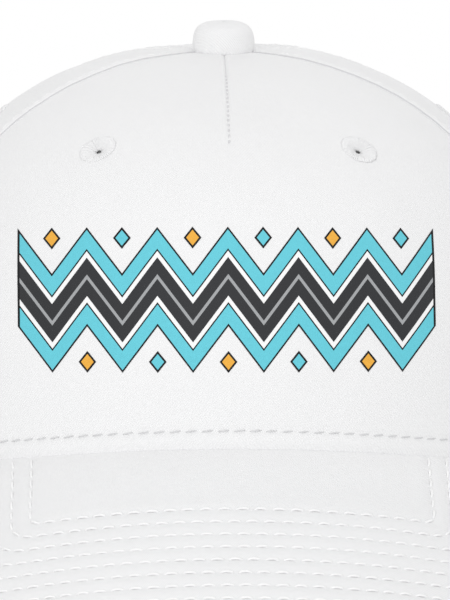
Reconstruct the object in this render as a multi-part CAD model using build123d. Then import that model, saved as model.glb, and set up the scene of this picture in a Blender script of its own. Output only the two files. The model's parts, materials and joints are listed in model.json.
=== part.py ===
from build123d import *
import math
import os

os.makedirs("parts", exist_ok=True)

# A six-panel cotton cap with a curved visor, in millimetres. The cap is drawn first with the button's
# axis upright: x to the wearer's left, y to the back, z up, and heights counted from the crown's lowest
# level at the back. At the end every piece is leaned back together, so that the cap stands on its visor's
# two low edges and on the back of its rim, as it does on a table.

# Crown form: reaches are from the button's axis to the cloth's outer face at the rim
crown_height = 114.0
crown_half_width = 89.6
crown_front_reach = 96.0
crown_back_reach = 100.0
# How full the crown is, seen from above and from the side, at its front, side and back
plan_fullness = (2.12, 2.44, 2.14)
wall_steepness = (4.41, 2.5, 2.41)
# Heights of a panel's sections, as shares of the crown's height; the last is the ring under the button
section_shares = (0.0, 0.07, 0.2, 0.38, 0.56, 0.72, 0.85, 0.93, 0.975, 0.994, 0.9999)

# Seams, in degrees round the crown from its front
front_side_seam = 67.0
side_rear_seam = 124.0
seam_gap = 0.3
# Arcs side by side across a panel
panel_spans = 2

# Layers, from the outer face inwards
cloth = 1.0
layer_gap = 0.3
lining = 0.7
strap_thickness = 1.4
band_thickness = 1.0
lining_inset = cloth + layer_gap
strap_inset = lining_inset + lining + layer_gap
band_inset = strap_inset + strap_thickness + layer_gap

# Rim: its height at the back, and how far pieces inside stay above it
rear_rim_height = 2.0
band_height = 32.0
band_lip = 1.2
lining_hem = band_lip + layer_gap

# Visor: a sheet bent round a cylinder that slopes down forwards
visor_joint_height = 33.3
visor_slope = 20.6
visor_bend_radius = 115.0
visor_side_inset = 8.6
visor_half_width = crown_half_width - visor_side_inset
visor_reach = 65.0
visor_front_radius = 173.0
visor_corner_radius = 39.0
visor_cover = 1.6
visor_edge_gap = 0.2
visor_edge_round = 0.7

# Button and its rivet
button_radius = 8.0
button_height = 7.0
button_dome_radius = 20.0
button_shoulder = 3.0
button_tuck = 1.0
rivet_radius = 1.4
rivet_head_radius = 6.5
rivet_head = 0.8

# Eyelets: one in each panel, sewn round a punched hole; each has its azimuth and its height
eyelet_radius = 4.4
eyelet_bore_radius = 1.5
eyelet_sleeve = 0.7
eyelet_flange = 0.7
eyelet_clearance = 0.2
front_eyelet_drop = 15.5
other_eyelet_drop = 18.0
front_eyelet = (29.2, crown_height - front_eyelet_drop)
side_eyelet = (95.5, crown_height - other_eyelet_drop)
rear_eyelet = (152.0, crown_height - other_eyelet_drop)

# Tapes over the seams and stiffeners behind the front panels
tape_half_width = 6.0
tape_side_gap = 0.6
lining_shares = section_shares[:-1]
stiffener_drop = 8.0
stiffener_top = crown_height - stiffener_drop

# Opening at the back and its binding
arch_half_width = 36.0
arch_height = 48.0
binding_width = 6.0

# Strap and clasp: azimuths run past 180 degrees on the wearer's right
strap_width = 20.0
strap_above_rim = 3.0
strap_start = 140.0
strap_end = 212.0
tab_end = 216.0
clasp_azimuth = 190.0
clasp_half_length = 9.0
clasp_wall = 1.0
clasp_back = 0.8
clasp_side_clearance = 0.4
clasp_wall_proud = 1.8
pin_radius = 1.0
pin_fit = 0.05
pin_azimuth = clasp_azimuth - 6.0
pin_inset = 0.2
knuckle_radius = 1.8
lever_length = 15.0
lever_thickness = 1.2
lever_lip_radius = 0.9
lever_side_clearance = 0.3
lever_lean = 4.5
bar_radius = 0.8
bar_azimuth = clasp_azimuth + 7.4
bar_inset = 0.4
loop_fit = 0.1

# Sizes of cutting bodies, all well outside the cap, and how far strips run on before they are trimmed
reach_past = 400.0
trim_margin = 10.0


def mix(values, azimuth):
    """Value at an azimuth, from values for the front, the side and the back."""
    front, side, back = values
    along = math.cos(math.radians(azimuth))
    end = front if along > 0 else back
    return side + (end - side) * along**2


def rim_reach(azimuth):
    """Distance from the axis to the rim's outer face."""
    turn = math.radians(azimuth)
    reach = crown_front_reach if math.cos(turn) > 0 else crown_back_reach
    return 1 / math.hypot(math.sin(turn) / crown_half_width, math.cos(turn) / reach)


def wall_reach(azimuth, height):
    """Distance from the axis to the crown's outer face at a height."""
    rise = (height / crown_height) ** (mix(wall_steepness, azimuth) / 2)
    return rim_reach(azimuth) * (1 - rise**2) ** (1 / mix(plan_fullness, azimuth))


def outward(azimuth, height):
    """Radial and upward parts of the crown's outward normal in its meridian."""
    step = crown_height * 1e-5
    low = max(height - step, 0)
    high = min(height + step, crown_height)
    slope = (wall_reach(azimuth, high) - wall_reach(azimuth, low)) / (high - low)
    return Vector(1, 0, -slope).normalized()


def wall_point(azimuth, height, inset, aside=0.0, direction=None):
    """Point of the wall: inset from the outer face and shifted round the crown."""
    normal = direction or outward(azimuth, height)
    reach = wall_reach(azimuth, height)
    turn = math.radians(azimuth) + aside / reach
    reach = wall_reach(math.degrees(turn), height) - inset * normal.X
    return Vector(reach * math.sin(turn), -reach * math.cos(turn), height - inset * normal.Z)


def wall_ring(azimuths, height, inset, edge, direction=None):
    """Points round a stretch of wall: each span's ends and middle, with the outer ends drawn in."""
    first, last = azimuths[0], azimuths[-1]
    ring = [wall_point(first, height, inset, edge, direction)]
    for start, end in zip(azimuths, azimuths[1:]):
        ring.append(wall_point((start + end) / 2, height, inset, 0, direction))
        ring.append(wall_point(end, height, inset, -edge if end == last else 0, direction))
    return ring


def wall_section(azimuths, height, outer, inner, edge, direction=None):
    """Closed outline of a stretch of wall at one height, with one arc for each span of azimuths."""
    outside = wall_ring(azimuths, height, outer, edge, direction)
    inside = wall_ring(azimuths, height, inner, edge, direction)[::-1]
    edges = [Edge.make_three_point_arc(*outside[i : i + 3]) for i in range(0, len(outside) - 2, 2)]
    edges.append(Edge.make_line(outside[-1], inside[0]))
    edges += [Edge.make_three_point_arc(*inside[i : i + 3]) for i in range(0, len(inside) - 2, 2)]
    edges.append(Edge.make_line(inside[-1], outside[0]))
    return Wire(edges)


def end_section(azimuths, height, outer, inner, edge):
    """Flat outline across the wall that closes a panel, with as many edges as its other sections."""
    middle = (azimuths[0] + azimuths[-1]) / 2
    normal = outward(middle, height)
    turn = math.radians(middle)
    out = Vector(normal.X * math.sin(turn), -normal.X * math.cos(turn), normal.Z)
    first = wall_point(azimuths[0], height, 0, edge)
    last = wall_point(azimuths[-1], height, 0, -edge)
    spans = len(azimuths) - 1
    steps = [i / (2 * spans) for i in range(0, 2 * spans + 1, 2)]
    corners = [first + (last - first) * step - out * outer for step in steps]
    corners += [first + (last - first) * step - out * inner for step in reversed(steps)]
    return Wire.make_polygon(corners, close=True)


def gore(start, end, outer, inner, edge, shares=section_shares, spans=panel_spans):
    """A panel-like piece that runs from the rim to the last of its section shares."""
    azimuths = [start + (end - start) * i / spans for i in range(spans + 1)]
    level = Vector(1, 0, 0)
    first = wall_section(azimuths, 0, outer, inner, edge, level)
    middle = [wall_section(azimuths, share * crown_height, outer, inner, edge) for share in shares[1:-1]]
    last = end_section(azimuths, shares[-1] * crown_height, outer, inner, edge)
    return Solid.make_loft([first, *middle, last])


def low_wall(azimuths, outer, inner, top_height, count=5):
    """A band that follows the lower wall, with level sections up to a height."""
    level = Vector(1, 0, 0)
    heights = [top_height * i / (count - 1) for i in range(count)]
    return Solid.make_loft([wall_section(azimuths, h, outer, inner, 0, level) for h in heights])


def visor_frame():
    """Plane at the visor's joint with the crown: local y is the visor's upward normal, z runs forwards."""
    slope = math.radians(visor_slope)
    forwards = (0, -math.cos(slope), -math.sin(slope))
    return Plane(origin=(0, -crown_front_reach, visor_joint_height), x_dir=(1, 0, 0), z_dir=forwards)


def visor_end():
    """Where the visor's side edge meets the rim: y and z, and how far back along the visor."""
    across = visor_half_width / crown_half_width
    y = -crown_front_reach * math.sqrt(1 - across**2)
    slope = math.radians(visor_slope)
    drop = visor_bend_radius - math.sqrt(visor_bend_radius**2 - visor_half_width**2)
    back = (crown_front_reach + y - drop * math.sin(slope)) / math.cos(slope)
    z = visor_joint_height + back * math.sin(slope) - drop * math.cos(slope)
    return y, z, back


def visor_drum(depth):
    """Solid drum whose top is the visor's surface at a depth under its upper face."""
    back = visor_end()[2]
    length = back + visor_reach + visor_half_width
    drum = Cylinder(visor_bend_radius - depth, length, align=(Align.CENTER, Align.CENTER, Align.MIN))
    return visor_frame() * Pos(0, -visor_bend_radius, -back) * drum


def rim_slope():
    """Degrees by which the rim rises from the back to the visor's ends."""
    y, z = visor_end()[:2]
    return math.degrees(math.atan2(z - rear_rim_height, crown_back_reach - y))


def under_rim(rise, depth=0.0):
    """Everything below the crown's edge: a sloping half space behind, the visor's drum in front."""
    block = Box(reach_past, 2 * reach_past, reach_past, align=(Align.CENTER, Align.CENTER, Align.MAX))
    half_space = Pos(0, crown_back_reach, rear_rim_height) * Rot(-rim_slope(), 0, 0) * block
    return Pos(0, 0, rise) * (half_space + visor_drum(depth))


def arch_prism(grow):
    """Upright arch through the back of the crown, grown on all sides."""
    half = arch_half_width + grow
    spring = rear_rim_height + arch_height - arch_half_width
    outline = Pos(0, spring) * Circle(half) + Pos(0, spring) * Rectangle(
        2 * half, reach_past, align=(Align.CENTER, Align.MAX)
    )
    return extrude(Plane.XZ * outline, amount=-reach_past)


def wall_frame(azimuth, height, inset):
    """Plane square to the wall with its z outwards and its x along the rim, towards larger azimuths."""
    step = 0.1
    along = wall_point(azimuth + step, height, 0) - wall_point(azimuth - step, height, 0)
    up = wall_point(azimuth, height + step, 0) - wall_point(azimuth, height - step, 0)
    out = along.cross(up).normalized()
    return Plane(origin=wall_point(azimuth, height, 0) - out * inset, x_dir=along, z_dir=out)


def punch(place, radius):
    """Cylinder through the wall at an eyelet's place."""
    azimuth, height = place
    return wall_frame(azimuth, height, cloth) * Cylinder(radius, 8 * cloth)


def mirrored(shape):
    """The same piece on the wearer's other side."""
    return shape.mirror(Plane.YZ)


def panel(start, end, eyelet):
    """Crown panel on the wearer's left, trimmed to the rim and punched for its eyelet."""
    shape = gore(start, end, 0, cloth, seam_gap / 2)
    shape = shape - under_rim(0, -layer_gap)
    return shape - punch(eyelet, eyelet_bore_radius + eyelet_sleeve + eyelet_clearance)


def eyelet_ring(place, depth):
    """Sewn ring on the panel with a sleeve down through it."""
    azimuth, height = place
    bottom = -depth
    flange_base = eyelet_clearance
    flange = Pos(0, 0, flange_base) * Cylinder(
        eyelet_radius, eyelet_flange, align=(Align.CENTER, Align.CENTER, Align.MIN)
    )
    flange = fillet(flange.edges().group_by(Axis.Z)[-1], eyelet_flange * 0.6)
    sleeve = Pos(0, 0, bottom) * Cylinder(
        eyelet_bore_radius + eyelet_sleeve,
        flange_base + eyelet_flange / 2 - bottom,
        align=(Align.CENTER, Align.CENTER, Align.MIN),
    )
    bore = Cylinder(eyelet_bore_radius, 8 * depth)
    return wall_frame(azimuth, height, 0) * (flange + sleeve - bore)


def seam_tape(azimuth, bottom_cut):
    """Tape over a seam's inside, from near the button to the rim."""
    inner = lining_inset + lining
    return gore(azimuth, azimuth, lining_inset, inner, -tape_half_width, lining_shares, 1) - bottom_cut


def stiffener():
    """Stiff lining behind the left front panel, between the tapes."""
    edge = tape_half_width + tape_side_gap
    shape = gore(0, front_side_seam, lining_inset, lining_inset + lining, edge, lining_shares)
    shape = shape & Box(reach_past, reach_past, 2 * stiffener_top)
    shape = shape - under_rim(lining_hem)
    return shape - punch(front_eyelet, eyelet_bore_radius + eyelet_sleeve + eyelet_clearance)


def sweatband():
    """Band inside the rim, open at the back, with the lip by which it is sewn to the crown."""
    half_turn = 180 - math.degrees(math.asin((arch_half_width + seam_gap) / crown_back_reach)) - 1
    spans = 12
    azimuths = [-half_turn + 2 * half_turn * i / spans for i in range(spans + 1)]
    visor_depth = 2 * visor_cover + visor_edge_gap
    top = visor_joint_height + band_height + trim_margin
    band = low_wall(azimuths, band_inset, band_inset + band_thickness, top)
    lip = low_wall(azimuths, lining_inset, band_inset + band_thickness, top)
    below = under_rim(0, visor_depth)
    band = band & under_rim(band_height, visor_depth)
    lip = lip & under_rim(band_lip, visor_depth)
    return (band + lip) - below


def visor_outline():
    """Prism of the visor's outline, along its upward normal."""
    front = Pos(0, visor_reach - visor_front_radius) * Circle(visor_front_radius)
    length = visor_reach + visor_half_width
    sides = Pos(0, visor_reach) * Rectangle(2 * visor_half_width, length, align=(Align.CENTER, Align.MAX))
    outline = front & sides
    corners = outline.vertices().group_by(Axis.Y)[-1]
    outline = fillet(corners, visor_corner_radius)
    flat = visor_frame() * Rot(90, 0, 0)
    return extrude(flat * outline, amount=visor_bend_radius, both=True)


def visor_depth(point):
    """Depth of a point under the visor's upper face."""
    local = visor_frame().to_local_coords(point)
    return visor_bend_radius - math.hypot(local.X, local.Y + visor_bend_radius)


def visor_sheet(depth, thickness, rounded_depth):
    """One cover of the visor, cut out round the crown's throat, with its free edge rounded at a depth."""
    sheet = visor_drum(depth) - visor_drum(depth + thickness)
    sheet = sheet & visor_outline()
    rolled = [edge for edge in sheet.edges() if abs(visor_depth(edge @ 0.5) - rounded_depth) < 0.01]
    front = [edge for edge in rolled if visor_frame().to_local_coords(edge @ 0.5).Z > 0]
    sheet = fillet(front, visor_edge_round)
    throat = Pos(0, 0, visor_joint_height) * extrude(
        Ellipse(crown_half_width - cloth, crown_front_reach - cloth), amount=reach_past, both=True
    )
    return sheet - throat


def between_rim_levels(low, high):
    """Solid layer between two heights above the sloping back rim."""
    layer = Box(reach_past, reach_past, high - low, align=(Align.CENTER, Align.CENTER, Align.MIN))
    turned = Rot(-rim_slope(), 0, 0) * Pos(0, 0, low) * layer
    return Pos(0, crown_back_reach, rear_rim_height) * turned


def strap_piece(start, end, outer, inner, grow):
    """Curved strip of the strap's run: its width grown on both sides."""
    low = strap_above_rim - grow
    high = strap_above_rim + strap_width + grow
    spans = max(1, round((end - start) / 24))
    azimuths = [start + (end - start) * i / spans for i in range(spans + 1)]
    strip = low_wall(azimuths, outer, inner, 2 * (strap_above_rim + strap_width))
    return strip & between_rim_levels(low, high)


def clasp_frame(azimuth, inset):
    """Plane in the strap's middle: x along the strap, y across it and z outwards."""
    height = rear_rim_height + strap_above_rim + strap_width / 2
    turn = math.radians(azimuth)
    rise = math.tan(math.radians(rim_slope()))
    level = Vector(1, 0, 0)
    place = wall_point(azimuth, height, inset, 0, level)
    height += rise * (crown_back_reach - place.Y)
    place = wall_point(azimuth, height, inset, 0, level)
    along = (math.cos(turn), math.sin(turn), -rise * math.sin(turn))
    out = (math.sin(turn), -math.cos(turn), 0)
    return Plane(origin=place, x_dir=along, z_dir=out)


def rod(frame, radius, length):
    """Round bar across the strap."""
    return frame * Rot(90, 0, 0) * Cylinder(radius, length)


channel_width = strap_width + 2 * clasp_side_clearance
clasp_width = channel_width + 2 * clasp_wall


def clasp_base():
    """Channel round the strap with a fixed bar for the tab and holes for the lever's pin."""
    start = clasp_azimuth - clasp_half_length
    end = clasp_azimuth + clasp_half_length
    floor_inset = strap_inset + strap_thickness + layer_gap
    block = strap_piece(start, end, -clasp_wall_proud, floor_inset + clasp_back, clasp_side_clearance + clasp_wall)
    hollow = strap_piece(start - 2, end + 2, -3 * clasp_wall_proud, floor_inset, clasp_side_clearance)
    bar = rod(clasp_frame(bar_azimuth, bar_inset), bar_radius, channel_width + clasp_wall)
    hole = rod(clasp_frame(pin_azimuth, pin_inset), pin_radius + pin_fit / 2, 2 * clasp_width)
    return block - hollow + bar - hole


def clasp_tab():
    """Short cloth tab sewn inside the right rear panel and looped round the fixed bar."""
    frame = clasp_frame(bar_azimuth, bar_inset)
    loop_bore = bar_radius + loop_fit
    run = strap_piece(bar_azimuth, tab_end, lining_inset, lining_inset + lining, 0)
    loop = rod(frame, loop_bore + lining, strap_width)
    return run + loop - rod(frame, loop_bore, 2 * strap_width)


def clasp_lever():
    """Lever that pinches the strap, hinged on the pin, with a rolled lip at its free end."""
    width = channel_width - 2 * lever_side_clearance
    plate = Pos(lever_length / 2, 0, -pin_radius / 2) * Box(lever_length, width, lever_thickness)
    lip = Pos(lever_length, 0, 0) * Rot(90, 0, 0) * Cylinder(lever_lip_radius, width)
    knuckle = Rot(90, 0, 0) * Cylinder(knuckle_radius, width)
    bore = Rot(90, 0, 0) * Cylinder(pin_radius + pin_fit, 2 * width)
    shape = Rot(0, lever_lean, 0) * (plate + lip + knuckle - bore)
    return clasp_frame(pin_azimuth, pin_inset) * shape


def button():
    """Cloth-covered button: a low dome with round shoulders and a tucked lower edge."""
    drum = Cylinder(button_radius, button_height, align=(Align.CENTER, Align.CENTER, Align.MIN))
    dome = drum & Pos(0, 0, button_height - button_dome_radius) * Sphere(button_dome_radius)
    dome = fillet(dome.edges().filter_by(Plane.XY).sort_by(Axis.Z)[-1], button_shoulder)
    dome = fillet(dome.edges().filter_by(Plane.XY).sort_by(Axis.Z)[0], button_tuck)
    return Pos(0, 0, crown_height + eyelet_clearance) * dome


def button_rivet():
    """Rivet of the button: a stem through the seams' meeting point and a round head inside."""
    head_top = crown_height - cloth - layer_gap
    head = Pos(0, 0, head_top) * Cylinder(
        rivet_head_radius, rivet_head, align=(Align.CENTER, Align.CENTER, Align.MAX)
    )
    stem = Pos(0, 0, head_top) * Cylinder(
        rivet_radius,
        crown_height + eyelet_clearance - head_top,
        align=(Align.CENTER, Align.CENTER, Align.MIN),
    )
    return head + stem


def arch_binding():
    """Strip that finishes the opening's edge inside the rear panels, above the strap."""
    reach = arch_half_width + binding_width
    spread = math.degrees(math.asin(reach / crown_back_reach)) + 3
    azimuths = [180 - spread, 180, 180 + spread]
    top = rear_rim_height + arch_height + binding_width + trim_margin
    strip = low_wall(azimuths, lining_inset, lining_inset + lining, top)
    strip = strip & arch_prism(binding_width)
    strap_top = strap_above_rim + strap_width + clasp_side_clearance + clasp_wall + layer_gap
    below = between_rim_levels(-reach_past, strap_top)
    return strip - arch_prism(0) - below


def cap_pieces():
    """Every piece by its name, in the upright cap's own position."""
    pieces = {}
    arch = arch_prism(0)
    panels = {
        "front": (0, front_side_seam, front_eyelet),
        "side": (front_side_seam, side_rear_seam, side_eyelet),
        "rear": (side_rear_seam, 180, rear_eyelet),
    }
    for name, (start, end, eyelet) in panels.items():
        left = panel(start, end, eyelet)
        if name == "rear":
            left = left - arch
        depth = cloth + layer_gap + lining if name == "front" else cloth
        ring = eyelet_ring(eyelet, depth)
        pieces[f"{name}_panel_left"] = left
        pieces[f"{name}_panel_right"] = mirrored(left)
        pieces[f"{name}_eyelet_left"] = ring
        pieces[f"{name}_eyelet_right"] = mirrored(ring)
    pieces["crown_button"] = button()
    pieces["button_rivet"] = button_rivet()
    pieces["front_stiffener_left"] = stiffener()
    pieces["front_stiffener_right"] = mirrored(pieces["front_stiffener_left"])

    hem = under_rim(lining_hem)
    pieces["front_seam_tape"] = seam_tape(0, hem)
    for name, azimuth in (("front_side", front_side_seam), ("side_rear", side_rear_seam)):
        pieces[f"{name}_seam_tape_left"] = seam_tape(azimuth, hem)
        pieces[f"{name}_seam_tape_right"] = mirrored(pieces[f"{name}_seam_tape_left"])
    pieces["rear_seam_tape"] = seam_tape(180, arch_prism(binding_width + layer_gap))

    pieces["sweatband"] = sweatband()
    pieces["rear_arch_binding"] = arch_binding()
    under = visor_cover + visor_edge_gap
    pieces["visor_top_cover"] = visor_sheet(0, visor_cover, 0)
    pieces["visor_under_cover"] = visor_sheet(under, visor_cover, under + visor_cover)

    pieces["closure_strap"] = strap_piece(strap_start, strap_end, strap_inset, strap_inset + strap_thickness, 0)
    pieces["clasp_tab"] = clasp_tab()
    pieces["clasp_base"] = clasp_base()
    pieces["clasp_pin"] = rod(clasp_frame(pin_azimuth, pin_inset), pin_radius, clasp_width)
    pieces["clasp_lever"] = clasp_lever()
    return pieces


def lowest(shape, lean):
    """Lowest height of a piece when the cap leans back by some degrees."""
    return (Rot(-lean, 0, 0) * shape).bounding_box().min.Z


def resting_lean(visor, rear_panel):
    """Lean at which the visor and the back of the rim reach equally low."""
    low, high = 0.0, 20.0
    for _ in range(24):
        lean = (low + high) / 2
        if lowest(visor, lean) < lowest(rear_panel, lean):
            low = lean
        else:
            high = lean
    return (low + high) / 2


pieces = cap_pieces()
lean = resting_lean(pieces["visor_under_cover"], pieces["rear_panel_left"])
lean_turn = Rot(-lean, 0, 0)
for name, piece in pieces.items():
    export_step(lean_turn * piece, f"parts/{name}.step")

hinge = clasp_frame(pin_azimuth, pin_inset)
print("lean", round(lean, 3), "floor", round(lowest(pieces["visor_under_cover"], lean), 3))
print("pin at", (lean_turn * Pos(hinge.origin)).position, "axis", hinge.y_dir.rotate(Axis.X, -lean))
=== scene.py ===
import json
import math

import bmesh
import bpy
import numpy as np
from mathutils import Matrix, Vector


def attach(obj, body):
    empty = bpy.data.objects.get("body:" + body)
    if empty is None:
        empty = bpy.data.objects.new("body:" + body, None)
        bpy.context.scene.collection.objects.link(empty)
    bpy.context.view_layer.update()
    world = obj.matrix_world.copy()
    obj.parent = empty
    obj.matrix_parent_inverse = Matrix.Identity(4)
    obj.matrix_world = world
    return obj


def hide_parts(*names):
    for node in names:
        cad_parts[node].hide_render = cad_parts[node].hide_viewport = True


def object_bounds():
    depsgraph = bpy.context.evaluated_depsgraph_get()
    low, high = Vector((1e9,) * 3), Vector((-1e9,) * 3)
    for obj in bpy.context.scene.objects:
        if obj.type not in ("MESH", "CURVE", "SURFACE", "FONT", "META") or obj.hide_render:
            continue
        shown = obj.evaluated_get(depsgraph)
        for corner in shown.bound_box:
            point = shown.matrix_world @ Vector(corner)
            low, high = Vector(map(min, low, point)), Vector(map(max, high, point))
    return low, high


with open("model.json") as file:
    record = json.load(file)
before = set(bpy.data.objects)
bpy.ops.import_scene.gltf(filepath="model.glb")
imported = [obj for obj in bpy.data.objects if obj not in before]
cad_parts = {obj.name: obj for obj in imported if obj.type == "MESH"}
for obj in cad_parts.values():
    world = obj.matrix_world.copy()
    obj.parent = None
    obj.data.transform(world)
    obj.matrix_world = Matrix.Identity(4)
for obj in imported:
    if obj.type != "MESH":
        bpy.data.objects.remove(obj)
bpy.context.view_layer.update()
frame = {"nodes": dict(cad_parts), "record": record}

# A white six-panel cap. Shapes are worked out in the upright cap's millimetres, as the solids are, and
# are leaned back and turned to metres by to_row. x is to the wearer's left, y to the back, z up.
# An azimuth is an angle round the crown's axis from the front, in degrees in the values below and in
# radians in the functions. A share is a part of the length of the crown's meridian, from its lowest
# level up to the button.

crown_height = 114.0
crown_half_width = 89.6
crown_front_reach = 96.0
crown_back_reach = 100.0
plan_fullness = (2.12, 2.44, 2.14)
wall_steepness = (4.41, 2.5, 2.41)
crown_top_share = 0.9999
front_side_seam = 67.0
side_rear_seam = 124.0
rear_seam = 180.0
cloth = 1.0
layer_gap = 0.3
sides = ((1, "left"), (-1, "right"))

rear_rim_height = 2.0
band_height = 32.0
band_inset = 4.0
band_thickness = 1.0
band_mean_reach = 88.0
lining_inset = 1.3

visor_joint_height = 33.3
visor_slope = math.radians(20.6)
visor_bend_radius = 115.0
visor_side_inset = 8.6
visor_half_width = crown_half_width - visor_side_inset
visor_reach = 65.0
visor_front_radius = 173.0
visor_corner_radius = 39.0
visor_cover = 1.6
visor_edge_gap = 0.2
visor_edge_round = 1.7
visor_depth = 2 * visor_cover + visor_edge_gap

button_radius = 8.0
button_height = 7.0
button_base = crown_height + 0.2
button_tuck = 1.1
front_eyelet_height = crown_height - 15.5
other_eyelet_height = crown_height - 18.0
eyelets = {
    "front": (29.2, front_eyelet_height),
    "side": (95.5, other_eyelet_height),
    "rear": (152.0, other_eyelet_height),
}
eyelet_hole_radius = 2.6
satin_stitch_count = 56

arch_half_width = 36.0
arch_height = 48.0
arch_spring = rear_rim_height + arch_height - arch_half_width

strap_width = 20.0
strap_above_rim = 3.0
strap_inset = 2.3
strap_thickness = 1.4
strap_mean_reach = 95.0
strap_start = 140.0
strap_end = 212.0

# Stitches: pitch, length and the thread's radius
stitches = {
    "hem": (3.8, 2.6, 0.16),
    "arch": (3.8, 2.8, 0.22),
    "seam": (3.3, 2.5, 0.2),
    # The needle marks are short dark dashes of painted shade.
    "needle_mark": (2.3, 1.15, 0.2),
    "visor": (4.2, 3.1, 0.3),
    "band": (3.4, 2.5, 0.24),
    "strap": (3.0, 2.2, 0.22),
}
mark_heights = (101.0, 112.0)
button_share = 0.972
front_side_stitch_offset = 3.1
seam_stitch_offset = 3.0
seam_stitch_top_share = 0.93
hem_stitch_above_edge = 4.1
hem_stitch_slant = 0.17
arch_stitch_offsets = (2.2, hem_stitch_above_edge + 2.0)
row_count = 8
row_spacing = 5.0
row_stitch_depth = 0.2
first_row_reach = 24.0
first_row_leg = 49.0
first_row_corner = 4.0
row_bow_radius = 142.0

# Front print
print_height = 68.5
print_shift = -0.75
print_tilt = math.radians(12)
print_length = 100.0
print_lift = 0.06
print_border = 0.55
zigzag_count = 6
zigzag_rise = 11.0
zigzag_length = print_length / zigzag_count
diamond_half_size = (2.1, 2.6)

# Steps of the meshes
panel_rows = 150
hem_rows = 45
visor_rows_across = 92
visor_columns = 330
seam_steps = 400
far_off = 50.0

world_strength = 0.79

lean_axis = frame["record"]["mounts"][0]["axis"]
lean = math.atan2(-lean_axis[1], -lean_axis[2])
metres = 0.001


def to_row(points):
    """Points of the upright cap, in millimetres, as metres in the row's frame."""
    points = np.asarray(points, float) * metres
    x, y, z = points[..., 0], points[..., 1], points[..., 2]
    c, s = math.cos(lean), math.sin(lean)
    return np.stack([x, y * c + z * s, -y * s + z * c], -1)


def smooth(low, high, values):
    """0 below low, 1 above high, and a soft step between."""
    t = np.clip((values - low) / (high - low), 0, 1)
    return t * t * (3 - 2 * t)


def dip(distance, width):
    """Bell shape of height 1 round a distance of 0."""
    return np.exp(-((distance / width) ** 2))


def unit(vectors):
    """Vectors of length 1."""
    return vectors / np.maximum(np.linalg.norm(vectors, axis=-1, keepdims=True), 1e-12)


# Paths


def distances_along(points):
    """Distance of each point of a path from its start."""
    return np.concatenate([[0], np.cumsum(np.linalg.norm(np.diff(points, axis=0), axis=1))])


def on_path(values, run, at):
    """Values that go with the distances run along a path, read at other distances."""
    return np.stack([np.interp(at, run, column) for column in values.T], -1)


def even_path(points, count):
    """A path laid anew through points at even distances."""
    run = distances_along(points)
    return on_path(points, run, np.linspace(0, run[-1], count))


def straight(across, start, end, count):
    """Flat points of a line that runs forwards at one place across."""
    return np.stack([np.full(count, across), np.linspace(start, end, count)], -1)


def arc(centre, radius, start, end, count):
    """Flat points of an arc between two angles, without its first point."""
    turns = np.linspace(start, end, count)[1:]
    return np.stack([np.cos(turns), np.sin(turns)], -1) * radius + centre


def mirrored(half):
    """Whole line from its half, which ends in the middle."""
    return np.concatenate([half, (half * [-1, 1])[-2::-1]])


def nearest(rows, line):
    """Distance of each point in rows of points from the nearest point of a line."""
    return np.stack([np.linalg.norm(row[:, None] - line, axis=-1).min(axis=1) for row in rows])


# Crown's surface


def mix(values, azimuth):
    """Value at an azimuth, from values for the front, the side and the back."""
    front, side, back = values
    along = np.cos(azimuth)
    return side + (np.where(along > 0, front, back) - side) * along**2


def around(azimuth, reach, height):
    """Points at an azimuth, a distance from the axis and a height."""
    return np.stack([reach * np.sin(azimuth), -reach * np.cos(azimuth), height + 0 * reach], -1)


def outwards(azimuth):
    """Level directions away from the axis."""
    return around(azimuth, np.ones_like(azimuth), 0)


def rim_reach(azimuth):
    """Distance from the axis to the rim's outer face."""
    reach = np.where(np.cos(azimuth) > 0, crown_front_reach, crown_back_reach)
    return 1 / np.hypot(np.sin(azimuth) / crown_half_width, np.cos(azimuth) / reach)


def wall_reach(azimuth, height):
    """Distance from the axis to the crown's outer face at a height."""
    rise = (height / crown_height) ** (mix(wall_steepness, azimuth) / 2)
    return rim_reach(azimuth) * np.maximum(1 - rise**2, 0) ** (1 / mix(plan_fullness, azimuth))


def wall(azimuth, height, inset=0.0):
    """Points of the crown's outer face, or of a face at an inset from it."""
    return around(azimuth, wall_reach(azimuth, height) - inset, height)


def wall_normal(azimuth, height):
    """Outward directions of the crown's outer face."""
    turn, step = 1e-4, crown_height * 1e-5
    low = np.maximum(height - step, 0)
    high = np.minimum(height + step, crown_height * 0.99995)
    along = wall(azimuth + turn, height) - wall(azimuth - turn, height)
    return unit(np.cross(along, wall(azimuth, high) - wall(azimuth, low)))


table_step = math.radians(1)
table_shares = np.linspace(0, 1, 401)


def crown_tables():
    """Heights at even shares of each degree's meridian, and the meridians' lengths."""
    heights, lengths = [], []
    fine = np.linspace(0, 1, 3000)
    for azimuth in np.arange(181) * table_step:
        steep = float(mix(wall_steepness, azimuth))
        swing = fine * math.asin(crown_top_share ** (steep / 2))
        height = crown_height * np.sin(swing) ** (2 / steep)
        run = distances_along(np.stack([wall_reach(azimuth, height), height], -1))
        heights.append(np.interp(table_shares * run[-1], run, height))
        lengths.append(run[-1])
    return np.array(heights), np.array(lengths)


table_heights, table_lengths = crown_tables()


def table_place(azimuth):
    """Row of the tables at or before an azimuth, and the part of a row beyond it."""
    place = np.clip(np.abs(azimuth) / table_step, 0, len(table_lengths) - 1.001)
    row = place.astype(int)
    return row, place - row


def meridian_length(azimuth):
    """Length of the crown's meridian from its lowest level to the button."""
    return np.interp(np.abs(azimuth) / table_step, np.arange(len(table_lengths)), table_lengths)


def height_at(azimuth, share):
    """Height at a share of a meridian's length."""
    row, beyond = table_place(azimuth)
    place = np.clip(share, 0, 1) * (len(table_shares) - 1.001)
    column = place.astype(int)
    part = place - column
    low = table_heights[row, column] * (1 - part) + table_heights[row, column + 1] * part
    high = table_heights[row + 1, column] * (1 - part) + table_heights[row + 1, column + 1] * part
    return low * (1 - beyond) + high * beyond


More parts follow.
